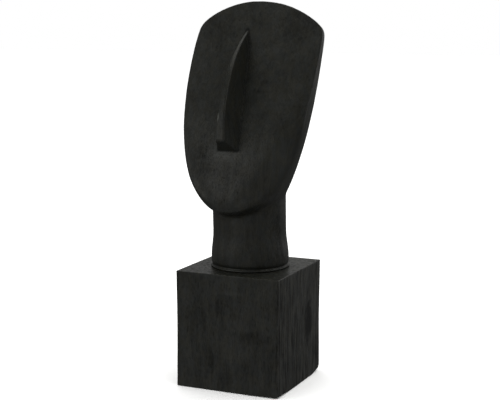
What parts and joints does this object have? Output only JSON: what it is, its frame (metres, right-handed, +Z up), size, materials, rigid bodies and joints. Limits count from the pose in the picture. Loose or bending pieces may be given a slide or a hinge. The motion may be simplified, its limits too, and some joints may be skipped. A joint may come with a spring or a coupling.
{
  "type": "wooden face sculpture",
  "caption": "Black wooden tabletop sculpture: a flat shield-shaped head with a long wedge nose, leaning back on a round neck over a square block.",
  "frame": {"origin": "centre of the block's underside", "axes": "+Z up, from the block to the crown; the face looks along -Y; +X is to the right when facing the face"},
  "size_m": [0.1625, 0.1311, 0.45],
  "materials": {
    "carved_wood": "black-stained wood, smooth carved surface with faint upright grain, satin",
    "block_wood": "black-stained wood, sawn and sanded faces with open upright grain and end grain on top, satin"
  },
  "bodies": {
    "root": {"head_and_neck": "carved_wood", "plinth_block": "block_wood"}
  },
  "joints": []
}
